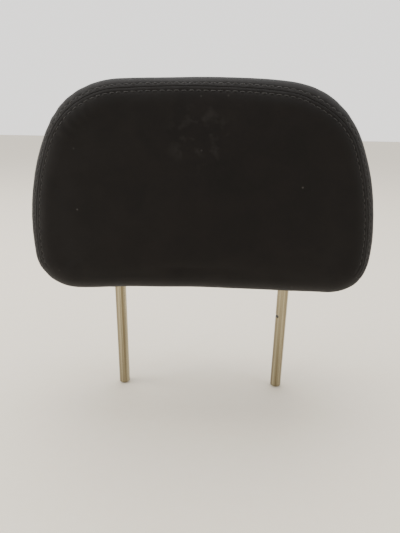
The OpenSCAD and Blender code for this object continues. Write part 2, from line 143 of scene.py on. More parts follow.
# painted shade: the notch and the rim beside it take a dark brown colour in place of bare metal
painted_notch_shade = add("Math", {0: in_notch, 1: painted_rim_shade}, operation="MAXIMUM")["Value"]
tint_with_painted_shade = add("Mix", {0: painted_notch_shade, 6: tint, 7: linear("16120c")}, data_type="RGBA")[2]
metallic_outside_shade = add("Math", {0: 1.0, 1: painted_notch_shade}, operation="SUBTRACT")["Value"]
roughness_with_shade = add("Math", {0: painted_notch_shade, 1: 0.35, 2: wear}, operation="MULTIPLY_ADD")["Value"]
shade = add("BsdfPrincipled", {
    "Base Color": tint_with_painted_shade, "Metallic": metallic_outside_shade, "Roughness": roughness_with_shade, "Normal": bump})["BSDF"]
add("OutputMaterial", {"Surface": shade})
finish_with(["post_frame", "stop_lug"], steel)

# Friction bushes ------------------------------------------------------
# Two split bushes moulded in natural acetal, pushed on the cross-bar before the core is closed round them.
# Acetal is a milky, slightly waxy white, clouded 4 mm at a time where it cooled.
acetal, add, place = material("natural_acetal_moulded")
cloud = add("TexNoise", {"Vector": place, "Scale": 250.0, "Detail": 3.0})["Fac"]
tint = add("ValToRGB", {"Fac": cloud}, stops=[(0.4, "dedacd"), (0.6, "ebe8de")])["Color"]
bump = add("Bump", {"Height": cloud, "Strength": 0.08, "Distance": 0.0001})["Normal"]
shade = add("BsdfPrincipled", {
    "Base Color": tint, "Roughness": 0.42, "IOR": 1.48, "Subsurface Weight": 0.1,
    "Subsurface Radius": (0.002, 0.002, 0.0015), "Normal": bump})["BSDF"]
add("OutputMaterial", {"Surface": shade})
finish_with(["bush_left", "bush_right"], acetal)

# Friction clips -------------------------------------------------------
# Bands of blued spring steel that the screws pull tight round the bushes; they set how hard the tilt is.
# Bluing is a thin dark oxide, satin, worn lighter in patches 5 mm across.
spring, add, place = material("blued_spring_steel")
patch = add("TexNoise", {"Vector": place, "Scale": 180.0, "Detail": 5.0, "Roughness": 0.65})["Fac"]
tint = add("ValToRGB", {"Fac": patch}, stops=[(0.42, "3c4146"), (0.68, "6e7070")])["Color"]
wear = add("MapRange", {
    "Value": patch, "From Min": 0.3, "From Max": 0.7, "To Min": 0.45, "To Max": 0.3})["Result"]
shade = add("BsdfPrincipled", {"Base Color": tint, "Metallic": 1.0, "Roughness": wear})["BSDF"]
add("OutputMaterial", {"Surface": shade})
finish_with(["friction_clip_left", "friction_clip_right"], spring)

# Screws and nuts ------------------------------------------------------
# Steel screws of the core and of the clips, and square nuts, all bright zinc plated in a barrel.
# Barrel plating leaves a bluish silver with scuffs 0.7 mm long in every direction.
zinc, add, place = material("barrel_zinc_plated_steel")
scuff = add("TexNoise", {"Vector": place, "Scale": 1500.0, "Detail": 4.0, "Distortion": 1.5})["Fac"]
tint = add("ValToRGB", {"Fac": scuff}, stops=[(0.3, "a9abab"), (0.7, "cfd0cf")])["Color"]
wear = add("MapRange", {"Value": scuff, "To Min": 0.22, "To Max": 0.42})["Result"]
shade = add("BsdfPrincipled", {"Base Color": tint, "Metallic": 1.0, "Roughness": wear})["BSDF"]
add("OutputMaterial", {"Surface": shade})
finish_with(["clip_screws", "clip_nuts", "core_screws"], zinc)

# Core -----------------------------------------------------------------
# Two shells moulded in dark grey polypropylene and screwed together round the cross-bar; the foam hides them.
# The mould was spark eroded, so the surface is matt with a grain of 0.5 mm, and faint flow marks run across.
core_plastic, add, place = material("grey_polypropylene_moulded")
grain = add("TexVoronoi", {"Vector": place, "Scale": 2000.0})["Distance"]
flow = add("TexNoise", {"Vector": place, "Scale": 25.0, "Detail": 2.0, "Distortion": 2.0})["Fac"]
tint = add("ValToRGB", {"Fac": flow}, stops=[(0.35, "37393c"), (0.65, "414346")])["Color"]
bump = add("Bump", {"Height": grain, "Strength": 0.15, "Distance": 0.0001})["Normal"]
shade = add("BsdfPrincipled", {"Base Color": tint, "Roughness": 0.6, "IOR": 1.49, "Normal": bump})["BSDF"]
add("OutputMaterial", {"Surface": shade})
finish_with(["core_front_shell", "core_rear_shell"], core_plastic)

# Bumpers --------------------------------------------------------------
# Two rubber pads whose pegs are pushed into the core; the stop lug meets one at each end of the tilt.
# Moulded rubber is matt black with a dusty bloom in flecks of 2.5 mm.
rubber, add, place = material("moulded_rubber")
bloom = add("TexNoise", {"Vector": place, "Scale": 400.0, "Detail": 5.0, "Roughness": 0.7})["Fac"]
tint = add("ValToRGB", {"Fac": bloom}, stops=[(0.45, "171717"), (0.75, "2a2a29")])["Color"]
shade = add("BsdfPrincipled", {"Base Color": tint, "Roughness": 0.75, "IOR": 1.52})["BSDF"]
add("OutputMaterial", {"Surface": shade})
finish_with(["bumper_front", "bumper_rear"], rubber)

# Foam bun -------------------------------------------------------------
# Polyurethane foam moulded in one piece, with a pocket for the core, slots for the collars and a slit to
# put the core in by. Its skin is smooth, straw coloured and faintly pitted by bubbles 1.4 mm apart.
MM = 1000.0
SKIN_STEP, PRESSED = 2.5, 1.2
foam, add, place = material("moulded_polyurethane_foam")
cells = add("TexVoronoi", {"Vector": place, "Scale": 700.0})["Distance"]
aged = add("TexNoise", {"Vector": place, "Scale": 18.0, "Detail": 3.0})["Fac"]
tint = add("ValToRGB", {"Fac": aged}, stops=[(0.3, "cdbf86"), (0.7, "ddd3a4")])["Color"]
bump = add("Bump", {"Height": cells, "Strength": 0.4, "Distance": 0.0004})["Normal"]
shade = add("BsdfPrincipled", {
    "Base Color": tint, "Roughness": 0.9, "IOR": 1.4, "Sheen Weight": 0.15, "Normal": bump})["BSDF"]
add("OutputMaterial", {"Surface": shade})


def show(name, data):
    """A new object of this mesh, light or camera, in the scene."""
    made = bpy.data.objects.new(name, data)
    bpy.context.scene.collection.objects.link(made)
    return made


# the mould rounds every edge of the solid, and the tight cover presses the foam in all over
bun = show("foam_core_bun", cad["foam_bun"].data.copy())
moulded = bun.modifiers.new("moulded", "REMESH")
moulded.mode, moulded.voxel_size = "VOXEL", SKIN_STEP / MM
rounded = bun.modifiers.new("rounded", "SMOOTH")
rounded.factor, rounded.iterations = 0.5, 4
pressed = bun.modifiers.new("pressed", "DISPLACE")
pressed.strength, pressed.mid_level = -PRESSED / MM, 0.0
bun_mesh = bpy.data.meshes.new_from_object(bun.evaluated_get(bpy.context.evaluated_depsgraph_get()))
bun.modifiers.clear()
bun.data = bun_mesh
bun_mesh.shade_smooth()
bun_mesh.materials.clear()
bun_mesh.materials.append(foam)
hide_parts("foam_bun")
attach(bun, "cushion")

# Sewn cover: its form -------------------------------------------------
# The cover takes the form of the moulded foam: an outline of arcs that run into each other, seen from the
# front, rounded over to the face by one radius and to the back by a larger, flatter curve.
WIDTH, TOP_WIDTH, HEIGHT = 266.0, 246.0, 158.0
LOWER_R, UPPER_R, FLANK_R, TOP_R, ARCH_R = 31.0, 68.0, 200.0, 1000.0, 2500.0
EDGE_R, BACK_IN, BACK_DEEP, CROWN = 20.0, 26.0, 24.0, 3.0
# how much fuller than its arc the form is at each start, from the underside's middle up; its lean sideways
FULL, LEAN = [1.9, 1.9, 0.7, 0.2, 0.0], -1.7
under_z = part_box("cover_front_panel")[0].z * MM
face_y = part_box("cover_front_panel")[0].y * MM + CROWN
back_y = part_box("cover_back_panel")[1].y * MM - CROWN
middle = np.array([0.0, under_z + HEIGHT / 2])


def meet(p, q, a, b):
    """Centre of an arc inside which the circles of reach a round p and b round q touch it."""
    d = q - p
    n = np.linalg.norm(d)
    u, t = d / n, (a * a - b * b + n * n) / (2 * n)
    return p + t * u - math.sqrt(a * a - t * t) * np.array([u[1], -u[0]])


def heading(d):
    return math.atan2(d[1], d[0])


low_c = np.array([WIDTH / 2 - LOWER_R, under_z + LOWER_R])
up_c = np.array([TOP_WIDTH / 2 - UPPER_R, under_z + HEIGHT - UPPER_R])
flank_c = meet(low_c, up_c, FLANK_R - LOWER_R, FLANK_R - UPPER_R)
top_c = np.array([0.0, up_c[1] - math.sqrt((TOP_R - UPPER_R) ** 2 - up_c[0] ** 2)])
arch_c = np.array([0.0, low_c[1] - math.sqrt((ARCH_R + LOWER_R) ** 2 - low_c[0] ** 2)])
arch_a, flank_a0 = heading(low_c - arch_c), heading(low_c - flank_c)
flank_a1, top_a = heading(up_c - flank_c), heading(up_c - top_c)
# each arc: centre, radius, side on which it bulges, first and last angle
ARCS = [
    (arch_c, ARCH_R, -1, math.pi / 2, arch_a),
    (low_c, LOWER_R, 1, arch_a - math.pi, flank_a0),
    (flank_c, FLANK_R, 1, flank_a0, flank_a1),
    (up_c, UPPER_R, 1, flank_a1, top_a),
    (top_c, TOP_R, 1, top_a, math.pi / 2),
]
arc_ends = np.cumsum([0] + [r * abs(a1 - a0) for _, r, _, a0, a1 in ARCS])
shoulder = (arc_ends[3] + arc_ends[4]) / 2
ROUND = 2 * arc_ends[-1]
# lengths across the cushion: the face's edge, the flank, the back's edge, and where each begins
EDGE_LEN = EDGE_R * math.pi / 2
FLANK_LEN = (back_y - BACK_DEEP) - (face_y + EDGE_R)
BACK_LEN = math.pi / 2 * math.sqrt((BACK_IN ** 2 + BACK_DEEP ** 2) / 2)
ACROSS = EDGE_LEN + FLANK_LEN + BACK_LEN
STARTS = [0, EDGE_LEN, EDGE_LEN + FLANK_LEN, ACROSS]
# bumps round the outline: size, place and reach. One lower corner is fuller and its shoulder flatter; the
# sewing strays by degrees round the face's edge, outward along the top and inward at that shoulder
BULGES = [(1.5, (arc_ends[1] + arc_ends[2]) / 2 - 3, 16), (-0.9, arc_ends[4] - 8, 20)]
STRAYS = [(3.0, ROUND / 2, 60), (-7.0, shoulder + 9, 24)]


def smooth(x):
    x = np.clip(x, 0, 1)
    return x * x * (3 - 2 * x)


def bumps(s, places):
    return sum(size * np.exp(-((np.mod(s, ROUND) - at) / reach) ** 2) for size, at, reach in places)


def near_end(s):
    """Length round the outline from the middle of the underside, on either side."""
    s = np.mod(s, ROUND)
    return np.minimum(s, ROUND - s)


def outline(s, inset):
    """Points (x, z) of the outline at lengths s round it, inset by a length, and their outward side."""
    t = near_end(s)
    k = np.clip(np.searchsorted(arc_ends, t, side="right") - 1, 0, len(ARCS) - 1)
    centre = np.array([a[0] for a in ARCS])[k]
    radius, bulge, a0, a1 = (np.array([a[i] for a in ARCS])[k] for i in (1, 2, 3, 4))
    turn = a0 + (a1 - a0) * (t - arc_ends[k]) / (arc_ends[k + 1] - arc_ends[k])
    side = np.stack([np.cos(turn), np.sin(turn)], -1)
    at = centre + (radius - bulge * inset)[..., None] * side
    out = bulge[..., None] * side
    flip = np.where(np.mod(s, ROUND) > ROUND / 2, -1.0, 1.0)
    at[..., 0] *= flip
    out[..., 0] *= flip
    return at, out


def form(s, v):
    """Points and outward normals of the padded form. v runs over the face (0 to 1), its rounded edge (to 2),
    the flank (to 3), the back's edge (to 4) and the back (to 5)."""
    s, v = np.broadcast_arrays(s, v)
    stray = bumps(s, STRAYS) * np.sin(math.pi * np.clip(v - 1, 0, 1))
    turn = np.radians(90 * np.where(v < 2, np.clip(v - 1, 0, 1), np.clip(4 - v, 0, 1)) + stray)
    front = v < 2.5
    wide, deep = np.where(front, EDGE_R, BACK_IN), np.where(front, EDGE_R, BACK_DEEP)
    scale = np.where(v < 1, v, np.where(v > 4, 5 - v, 1.0))
    rim, out = outline(s, wide * (1 - np.sin(turn)))
    flat = middle + scale[..., None] * (rim - middle)
    lift = deep * (1 - np.cos(turn)) - CROWN * (1 - scale ** 2) ** 2
    y = np.where(front, face_y + lift, back_y - lift)
    y = np.where((v >= 2) & (v <= 3), face_y + EDGE_R + np.clip(v - 2, 0, 1) * FLANK_LEN, y)
    normal = np.stack([out[..., 0] * np.sin(turn) / wide, np.where(front, -1, 1) * np.cos(turn) / deep,
                       out[..., 1] * np.sin(turn) / wide], -1)
    normal /= np.linalg.norm(normal, axis=-1, keepdims=True)
    lean = LEAN * np.clip((flat[..., 1] - under_z) / HEIGHT, 0, 1)
    at = np.stack([flat[..., 0] + lean, y, flat[..., 1]], -1)
    full = (np.interp(near_end(s), arc_ends[:5], FULL) + bumps(s, BULGES)) * smooth(v - 1) * smooth(4 - v)
    return at + full[..., None] * normal, normal


def station(w):
    """v for a length w across the cushion, measured from the face's rim back round the side."""
    return np.interp(w, STARTS, [1, 2, 3, 4])


def across(s, v):
    """The length across the cushion for a place (s, v), the reverse of station; negative on the face."""
    s, v = np.broadcast_arrays(s, v)
    w = np.interp(v, [1, 2, 3, 4], STARTS)
    reach_front, reach_back = (np.linalg.norm(outline(s, np.full(s.shape, inset))[0] - middle, axis=-1)
                               for inset in (EDGE_R, BACK_IN))
    w = np.where(v < 1, -(1 - v) * reach_front, w)
    return np.where(v > 4, ACROSS + (v - 4) * reach_back, w)


# Sewn cover: how it swells --------------------------------------------
# The cover is cut a little small and pulled over the foam, which swells it between the seams that hold it in.
# A cloth simulation of the whole cover, held along its seams, gives that swell; the panels then take it on.
SEAM_ANGLE = 38.0
front_seam = EDGE_LEN * SEAM_ANGLE / 90
back_seam = EDGE_LEN + FLANK_LEN + BACK_LEN * (1 - SEAM_ANGLE / 90)
# the side band ends a little way up each lower corner; the other two panels meet in the closure underneath
band_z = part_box("cover_side_band")[0].z * MM
corner_turn = math.asin((band_z - low_c[1]) / LOWER_R) - (arch_a - math.pi)
band_start = arc_ends[1] + LOWER_R * corner_turn
closure = EDGE_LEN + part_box("closure_hook_strip")[1].y * MM - (face_y + EDGE_R)
# the most that face and back, band and underside may swell, and that the cover may be pressed in
SWELL, SWELL_BAND, SWELL_UNDER, PRESSED_IN = 2.2, 0.9, 0.5, 0.3
# the simulation holds the cover this near to a seam and to the closure's middle, and takes this many steps
SEWN, STRIP_HALF, SIM_STEPS = 0.5, 4, 20

# the simulated cover's points: lengths round the outline, and stations over face, edge, band, edge and back
half = np.concatenate([np.linspace(0, band_start, 23)[:-1], np.linspace(band_start, ROUND / 2, 44)[:-1]])
sim_cols = np.concatenate([half, [ROUND / 2], ROUND - half[:0:-1]])
face = np.linspace(0.06, 1, 14)
widths = ((0, front_seam, 4), (front_seam, back_seam, 17), (back_seam, ACROSS, 4))
sim_rows = np.concatenate([
    face, *(station(np.linspace(*width)[1:]) for width in widths), 5 - face[-2::-1]])
sim_w = across(sim_cols[None, :], sim_rows[:, None])


def simulate_swell():
    """How far each of these points moves outward when the cover is blown up, held along its seams."""
    n, m = len(sim_cols), len(sim_rows)
    at, normal = form(sim_cols[None, :], sim_rows[:, None])
    poles = [[0, face_y - CROWN, middle[1]], [0, back_y + CROWN, middle[1]]]
    verts = np.concatenate([at.reshape(-1, 3), poles]) / MM
    faces = [(j * n + i, (j + 1) * n + i, (j + 1) * n + (i + 1) % n, j * n + (i + 1) % n)
             for j in range(m - 1) for i in range(n)]
    faces += [(m * n, i, (i + 1) % n) for i in range(n)]
    faces += [(m * n + 1, (m - 1) * n + (i + 1) % n, (m - 1) * n + i) for i in range(n)]
    mesh = bpy.data.meshes.new("blown_cover")
    mesh.from_pydata(verts.tolist(), [], faces)
    blown = show("blown_cover", mesh)
    w, near = sim_w, near_end(sim_cols)[None, :]
    sewn = ((np.abs(w - front_seam) < SEWN) | (np.abs(w - back_seam) < SEWN)) & (near > band_start - 1)
    sewn |= (np.abs(near - band_start) < SEWN) & (w > front_seam - 1) & (w < back_seam + 1)
    sewn |= (np.abs(w - closure) < STRIP_HALF) & (near < band_start)
    held = blown.vertex_groups.new(name="sewn")
    held.add(np.flatnonzero(sewn.ravel()).tolist(), 1.0, "REPLACE")
    cloth = blown.modifiers.new("cloth", "CLOTH")
    for setting, value in dict(
            quality=8, mass=0.3, tension_stiffness=120, compression_stiffness=120, shear_stiffness=10,
            bending_stiffness=5, use_pressure=True, uniform_pressure_force=4,
            vertex_group_mass="sewn").items():
        setattr(cloth.settings, setting, value)
    cloth.settings.effector_weights.gravity = 0
    cloth.point_cache.frame_start, cloth.point_cache.frame_end = 1, SIM_STEPS
    for step in range(1, SIM_STEPS + 1):
        bpy.context.scene.frame_set(step)
    shown = blown.evaluated_get(bpy.context.evaluated_depsgraph_get())
    moved = np.empty(3 * len(verts), np.float32)
    shown.data.vertices.foreach_get("co", moved)
    moved = (moved.reshape(-1, 3)[:n * m] - verts[:n * m]).reshape(m, n, 3) * MM
    bpy.context.scene.frame_set(1)
    bpy.data.objects.remove(blown)
    return np.sum(moved * normal, -1)


# each point is evened out with its neighbours, then kept within what its panel's foam allows
swell_table = simulate_swell()
for axis in (0, 1):
    last, following = np.roll(swell_table, 1, axis), np.roll(swell_table, -1, axis)
    if axis == 0:
        last[0], following[-1] = swell_table[0], swell_table[-1]
    swell_table = (last + 2 * swell_table + following) / 4
in_band = (sim_rows > station(front_seam)) & (sim_rows < station(back_seam))
limit = np.where(in_band, SWELL_BAND, SWELL)[:, None]
underneath = smooth((band_start - near_end(sim_cols)) / 8) * ((sim_rows > 1.2) & (sim_rows < 3.8))[:, None]
limit = limit + (SWELL_UNDER - limit) * underneath
limit = np.where(swell_table > 0, limit, PRESSED_IN)
swell_table = limit * np.tanh(swell_table / limit)
# the table is read with three more columns at each side, so that the curve runs on round the outline
SPARE = 3
wrapped = np.concatenate([swell_table[:, -SPARE:], swell_table, swell_table[:, :SPARE]], 1)
wrap_s = np.concatenate([sim_cols[-SPARE:] - ROUND, sim_cols, sim_cols[:SPARE] + ROUND])


def between(a, b, c, d, t):
    """The smooth curve through four values, t of the way from b to c."""
    return b + 0.5 * t * (c - a + t * (2 * a - 5 * b + 4 * c - d + t * (3 * (b - c) + d - a)))


def swell(s, v):
    """Outward swell of the cover in millimetres at (s, v), from the simulated grid."""
    s, v = np.broadcast_arrays(np.mod(s, ROUND), v)
    col = np.interp(s.ravel(), wrap_s, np.arange(len(wrap_s)))
    row = np.interp(v.ravel(), sim_rows, np.arange(len(sim_rows)))
    c = np.clip(np.floor(col).astype(int), 1, len(wrap_s) - 3)
    r = np.clip(np.floor(row).astype(int), 0, len(sim_rows) - 1)
    near = (-1, 0, 1, 2)
    lines = ([wrapped[np.clip(r + i, 0, len(sim_rows) - 1), c + j] for j in near] for i in near)
    return between(*(between(*line, col - c) for line in lines), row - r).reshape(s.shape)


# Sewn cover: seams and panels -----------------------------------------
# Three panels of knitted polyester laminated to thin foam. A seam joins face and side band, its allowances
# turned in and topstitched to each side; the front and back panels wrap under the cushion and meet there.
# a row's distance from its seam, the stitches' pitch, the allowance and the cloth's thickness; then the radii
# at which the cloth turns down into a seam and round a hem
ROW, PITCH, ALLOWANCE, CLOTH_T = 3.3, 5.0, 2.4, 1.2
TURN_R, HEM_R = 0.45, 1.2
# depths beside a seam: its pull on the cloth, its row's groove and needle holes, the puff between seam and
# row, and the dips where the band ends; then where they lie and how far they reach
DRAWN, GROOVE, HOLE, PUFF, BAND_END, PANEL_END = 0.17, 0.2, 0.12, 0.06, 0.4, 0.5
DRAWN_REACH, GROOVE_REACH, PUFF_AT, PUFF_REACH = 7.0, 0.85, 1.9, 0.6
FOLD_REACH, CREASE_REACH, END_REACH, RISE, FADE = 7.0, 11.0, 5.0, 4.0, 12.0
# steps of the mesh from a seam and up to a hem; then along the underside, by the posts' slots, on round the
# outline, and inside the face and the back, whose own points keep within a share of the last ring
SEAM_STEPS = np.array([
    0.03, 0.3, 0.6, 0.9, 1.25, 1.6, 2.0, 2.4, 2.85, 3.3, 3.75, 4.2, 4.8, 5.6, 6.8, 8.4, 10.4])
HEM_STEPS = np.array([3.6, 2.8, 2.1, 1.6, 1.2, 0.9, 0.6, 0.35, 0.15])
STEP, SLOT_STEP, ROUND_STEP, FACE_STEP, WITHIN = 2.6, 1.3, 1.25, 3.2, 0.985
rng = np.random.default_rng(11)


def waves(size, longest, shortest, count):
    """Height, rates and phases of waves that add up to about this size, their lengths in millimetres."""
    rates = 2 * math.pi / np.exp(rng.uniform(math.log(shortest), math.log(longest), count))
    return size / math.sqrt(count / 2), rates, rng.uniform(0, 2 * math.pi, count)


def wander(size, longest, shortest):
    """A smooth uneven function of a length."""
    high, rates, phases = waves(size, longest, shortest, 14)
    return lambda x: high * sum(np.sin(x * a + b) for a, b in zip(rates, phases))


def unevenness(size, longest, shortest):
    """The same for points in space."""
    ways = rng.normal(size=(26, 3))
    high, rates, phases = waves(size, longest, shortest, 26)
    ways *= (rates / np.linalg.norm(ways, axis=1))[:, None]
    return lambda p: high * sum(np.sin(p @ a + b) for a, b in zip(ways, phases))


pucker_front, pucker_back = wander(0.07, 26, 9), wander(0.07, 26, 9)
crease = wander(0.1, 15, 8)
lumps = unevenness(0.26, 110, 36)


class Seam:
    """A seam that runs round the cushion at one length across it, with its pucker and the length along it."""

    def __init__(self, w, pucker):
        self.w, self.pucker = w, pucker
        self.s = np.linspace(band_start, ROUND - band_start, 4001)
        steps = np.linalg.norm(np.diff(form(self.s, station(w))[0], axis=0), axis=1)
        self.at = np.concatenate([[0], np.cumsum(steps)])

    def along(self, s):
        return np.interp(np.mod(s, ROUND), self.s, self.at)

    def place(self, length):
        return np.interp(length, self.at, self.s)


front_line, back_line = Seam(front_seam, pucker_front), Seam(back_seam, pucker_back)


def turned_in(d, r=TURN_R):
    """Depth of cloth that turns down into a seam at distance d."""
    x = np.clip(r - d, 0, r)
    return r - np.sqrt(np.maximum(r * r - x * x, 0))


def beside_seam(d, s, seam, sewn):
    """Depth at distance d from a seam: its pull, the groove and holes of its row, and folds that die away."""
    along = seam.along(s)
    pull = DRAWN * np.exp(-(d / DRAWN_REACH) ** 2)
    hole = np.cos(math.pi * along / PITCH) ** 6
    groove = (GROOVE + HOLE * hole) * np.exp(-((d - ROW) / GROOVE_REACH) ** 2)
    puff = PUFF * (1 - 0.7 * hole) * np.exp(-((d - PUFF_AT) / PUFF_REACH) ** 2)
    past = np.maximum(d - ROW, 0)
    folds = seam.pucker(along) * np.exp(-past / FOLD_REACH) * smooth(d / ROW)
    # the cloth creases where the seam turns the shoulder, less and less over the last 20 mm of the turn
    from_turn = np.abs(near_end(front_line.place(along)) - shoulder)
    turning = smooth(((arc_ends[4] - arc_ends[3]) / 2 - from_turn) / 20)
    creases = crease(along) * turning * np.exp(-past / CREASE_REACH) * smooth(past / RISE)
    return pull + sewn * (groove - puff + folds + creases)


def seam_depth(s, w, panel):
    """Depth below the form of a point of a panel, from the seams round that panel."""
    inside = near_end(s) - band_start
    sewn = smooth(inside / RISE)
    if panel == "band":
        front, back = w - front_seam, back_seam - w
        deep = beside_seam(front, s, front_line, sewn) + beside_seam(back, s, back_line, sewn)
        closest = np.minimum(np.minimum(front, back), inside)
        return deep + turned_in(closest) + BAND_END * np.exp(-(inside / END_REACH) ** 2)
    if panel == "front":
        line, from_seam, from_closure = front_line, front_seam - w, closure - w
    else:
        line, from_seam, from_closure = back_line, w - back_seam, w - closure
    # away is the distance along the underside from the end of the band; the seam's pull fades out there
    away = -inside
    both = np.hypot(np.maximum(away, 0), np.maximum(from_seam, 0))
    closest = np.where(away <= 0, from_seam, np.where(from_seam <= 0, away, both))
    deep = np.where(from_seam > -1, beside_seam(np.abs(from_seam), s, line, sewn), 0)
    fading = PANEL_END * smooth(1 - away / FADE) * np.exp(-(closest / DRAWN_REACH) ** 2)
    deep = np.where(away > 0, fading, deep)
    return deep + turned_in(closest) + np.where(away > 0, turned_in(from_closure, HEM_R), 0)


# the trims' flanges press the cover flat round the posts' slots, which are cut with rounded ends; what lies
# lower than this is the cushion's underside
slot_low, slot_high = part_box("bezel_right")
FLANGE_R, SLOT_R = (slot_high.x - slot_low.x) * MM / 2, 9.2
FLANGE_PRESS, FLANGE_FADE = 0.15, 5
slot_ends = (slot_low.y * MM + FLANGE_R, slot_high.y * MM - FLANGE_R)
underside = under_z + 8


def from_slot(p):
    """Nearest point of the middle line of a post's slot, and the distance from it, seen from below."""
    centre = np.stack([np.sign(p[..., 0]) * POST_X * MM, np.clip(p[..., 1], *slot_ends)], -1)
    return centre, np.linalg.norm(p[..., :2] - centre, axis=-1)


def seam_distance(s, w):
    """Distance from the nearest seam, whatever the panel."""
    inside = near_end(s) - band_start
    line = np.minimum(np.abs(w - front_seam), np.abs(w - back_seam))
    line = np.where(inside > 0, line, np.hypot(line, inside))
    span = np.where((w > front_seam) & (w < back_seam), np.abs(inside), np.inf)
    shut = np.where(inside < 0, np.abs(w - closure), np.inf)
    return np.minimum(np.minimum(line, span), shut)


def cover_point(s, v, w, panel, extra=0.0):
    """Points of a panel's outer side at (s, v), w across, moved in by a little extra, and their normals."""
    at, normal = form(s, v)
    out = swell(s, v) + lumps(at) * smooth(seam_distance(s, w) / FADE)
    flap = (near_end(s) < band_start) & (w > EDGE_LEN) & (w < closure)
    held = np.where(flap, smooth((FLANGE_R - from_slot(at)[1]) / FLANGE_FADE + 1), 0)
    out = out * (1 - held) - FLANGE_PRESS * held - seam_depth(s, w, panel) - extra
    return at + out[..., None] * normal, normal


class Cloth:
    """Collects the points, pattern coordinates and faces of one panel."""

    def __init__(self, panel):
        self.panel, self.at, self.normal, self.thread, self.faces = panel, [], [], [], []

    def points(self, s, v, w, thread):
        """Adds points, with their places on the flat cut, and gives their numbers in the shape of s."""
        first = sum(map(len, self.at))
        at, normal = cover_point(s, v, w, self.panel)
        for held, new in ((self.at, at), (self.normal, normal), (self.thread, thread)):
            held.append(new.reshape(-1, new.shape[-1]))
        return first + np.arange(s.size).reshape(s.shape)

    def quads(self, grid, keep, closed):
        """Joins a grid of point numbers into quads where keep is true."""
        rows, cols = grid.shape
        for j in range(rows - 1):
            for i in range(cols if closed else cols - 1):
                if keep[j, i]:
                    k = (i + 1) % cols
                    self.faces.append((grid[j, i], grid[j, k], grid[j + 1, k], grid[j + 1, i]))

    def build(self, name):
        """Makes the panel of the points in use, its faces turned outward, as cloth of its real thickness."""
        used = np.unique(np.concatenate([np.array(f) for f in self.faces]))
        at, normal, thread = (np.concatenate(held)[used] for held in (self.at, self.normal, self.thread))
        faces = [np.searchsorted(used, f).tolist() for f in self.faces]
        a, b, c = (at[[f[i] for f in faces]] for i in (0, 1, 2))
        facing = np.sum(np.cross(b - a, c - a) * normal[[f[0] for f in faces]], -1)
        faces = [f if d > 0 else f[::-1] for f, d in zip(faces, facing)]
        at, thread, faces = turn_allowances(at, normal, thread, faces)
        mesh = bpy.data.meshes.new(name)
        mesh.from_pydata((at / MM).tolist(), [], faces)
        layer = mesh.uv_layers.new(name="thread_lines")
        corner = np.empty(len(mesh.loops), np.int32)
        mesh.loops.foreach_get("vertex_index", corner)
        layer.data.foreach_set("uv", (thread[corner] / MM).ravel().astype(np.float32))
        mesh.shade_smooth()
        piece = show(name, mesh)
        laminate = piece.modifiers.new("laminate", "SOLIDIFY")
        laminate.thickness, laminate.offset = CLOTH_T / MM, -1
        return piece


def turn_allowances(at, normal, thread, faces):
    """Carries every open edge of a panel inward, as the seam allowance is, and snaps slot edges smooth."""
    sides = {(p, q) for f in faces for p, q in zip(f, f[1:] + f[:1])}
    edge = [(p, q) for f in faces for p, q in zip(f, f[1:] + f[:1]) if (q, p) not in sides]
    ends = sorted({i for e in edge for i in e})
    centre, far = from_slot(at)
    slot_edge = {i for i in ends if far[i] < SLOT_R + 4 and at[i][2] < underside}
    for i in slot_edge:
        at[i, :2] = centre[i] + (at[i, :2] - centre[i]) * SLOT_R / far[i]
    rim = [i for i in ends if i not in slot_edge]
    layers, threads, faces = [at], [thread], list(faces)
    last, total = {i: i for i in rim}, len(at)
    for depth in (ALLOWANCE / 2, ALLOWANCE):
        fresh = {i: total + k for k, i in enumerate(rim)}
        layers.append(at[rim] - depth * normal[rim])
        threads.append(thread[rim])
        total += len(rim)
        faces += [[last[q], last[p], fresh[p], fresh[q]] for p, q in edge if p in fresh and q in fresh]
        last = fresh
    return np.concatenate(layers), np.concatenate(threads), faces


# lengths round the outline at which the panels' meshes have their points, closer from slot's end to end
SLOT_FROM, SLOT_TO = 58, 90
under_round = np.concatenate([
    np.arange(0, SLOT_FROM, STEP), np.arange(SLOT_FROM, SLOT_TO, SLOT_STEP),
    np.arange(SLOT_TO, band_start - 11, STEP), band_start - SEAM_STEPS[::-1], band_start + SEAM_STEPS])
rest = ROUND / 2 - under_round[-1]
rest_round = np.linspace(under_round[-1], ROUND / 2, int(rest / ROUND_STEP) + 1)
half_round = np.concatenate([under_round, rest_round[1:-1]])
columns = np.concatenate([half_round, [ROUND / 2], ROUND - half_round[:0:-1]])
on_band = near_end(columns) > band_start


